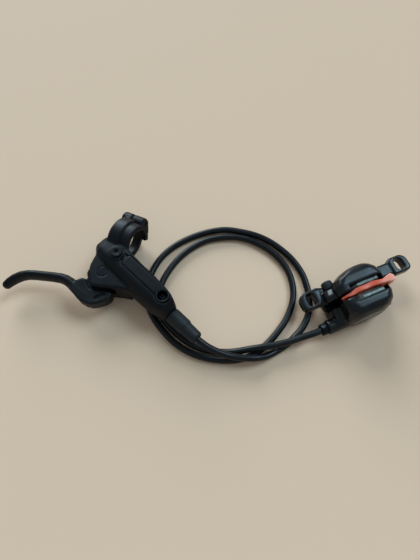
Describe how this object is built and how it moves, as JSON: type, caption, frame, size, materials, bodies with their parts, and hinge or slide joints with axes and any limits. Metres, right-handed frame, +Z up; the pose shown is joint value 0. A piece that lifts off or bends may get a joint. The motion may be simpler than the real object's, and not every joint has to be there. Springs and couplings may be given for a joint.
{
  "type": "bicycle hydraulic disc brake",
  "caption": "Hydraulic bicycle disc brake: lever and master cylinder with a hinged bar clamp, a looped hose and a post-mount caliper with pads, pistons and an orange spacer.",
  "frame": {"origin": "centre of the bounding box of the lever unit and the caliper on the surface they lie on, the hose left out", "axes": "+X from the lever's finger blade towards the caliper, +Y towards the handlebar side of the lever unit, +Z up from the surface"},
  "size_m": [0.3026, 0.1152, 0.0323],
  "materials": {
    "satin_black": "satin black coat",
    "gloss_black": "gloss black coat",
    "matte_black": "matte black anodised",
    "rubber": "moulded rubber",
    "hose_black": "satin extruded nylon",
    "steel": "plain steel",
    "black_steel": "black oxide steel",
    "brass": "plain brass",
    "resin_white": "moulded phenolic",
    "friction": "rough friction compound",
    "spacer_orange": "satin moulded plastic"
  },
  "bodies": {
    "base": {"lever_body": "satin_black", "clamp_band": "satin_black", "reservoir_lid": "satin_black", "bleed_screw": "satin_black", "caliper_inner": "gloss_black", "caliper_outer": "gloss_black", "reservoir_diaphragm": "rubber", "bleed_screw_seal": "rubber", "rod_dust_boot": "rubber", "hose_boot": "rubber", "piston_seal_inner": "rubber", "piston_seal_outer": "rubber", "bleed_cap": "rubber", "hose": "hose_black", "lid_screw": "steel", "clamp_bolt": "steel", "pivot_clip": "steel", "piston_stop_ring": "steel", "piston_spring": "steel", "pad_pin": "steel", "bleed_nipple": "steel", "pad_spring": "steel", "clamp_hinge_pin": "black_steel", "pivot_pin": "black_steel", "lever_hose_nut": "black_steel", "caliper_hose_nut": "black_steel", "body_bolt_left": "black_steel", "body_bolt_right": "black_steel", "lever_hose_insert": "brass", "lever_olive": "brass", "caliper_hose_insert": "brass", "caliper_olive": "brass", "pad_spacer": "spacer_orange"},
    "lever": {"lever_blade": "matte_black"},
    "rod": {"push_rod": "steel", "rod_pin": "steel", "master_piston": "resin_white", "primary_cup": "rubber", "secondary_cup": "rubber"},
    "inner_pad": {"piston_inner": "resin_white", "pad_plate_inner": "steel", "pad_friction_inner": "friction"},
    "outer_pad": {"piston_outer": "resin_white", "pad_plate_outer": "steel", "pad_friction_outer": "friction"}
  },
  "joints": [
    {"name": "lever_pivot", "type": "hinge", "parent": "base", "child": "lever", "pos_m": [-0.07699, -0.00073, 0.015], "axis": [0, 0, -1], "range_deg": [0, 22], "stiffness_Nm_per_rad": 0.05},
    {"name": "master_slide", "type": "slide", "parent": "base", "child": "rod", "axis": [0.7254, -0.6884, 0], "range_m": [0, 0.0051], "deforming": ["piston_spring"]},
    {"name": "inner_pad_slide", "type": "slide", "parent": "base", "child": "inner_pad", "axis": [0.3875, -0.9219, 0], "range_m": [0, 0.0003]},
    {"name": "outer_pad_slide", "type": "slide", "parent": "base", "child": "outer_pad", "axis": [-0.3875, 0.9219, 0], "range_m": [0, 0.0003]}
  ],
  "couplings": [
    {"joint": "master_slide", "follows": "lever_pivot", "m_per_rad": 0.01316},
    {"joint": "inner_pad_slide", "follows": "lever_pivot", "m_per_rad": 0.00078},
    {"joint": "outer_pad_slide", "follows": "lever_pivot", "m_per_rad": 0.00078}
  ]
}
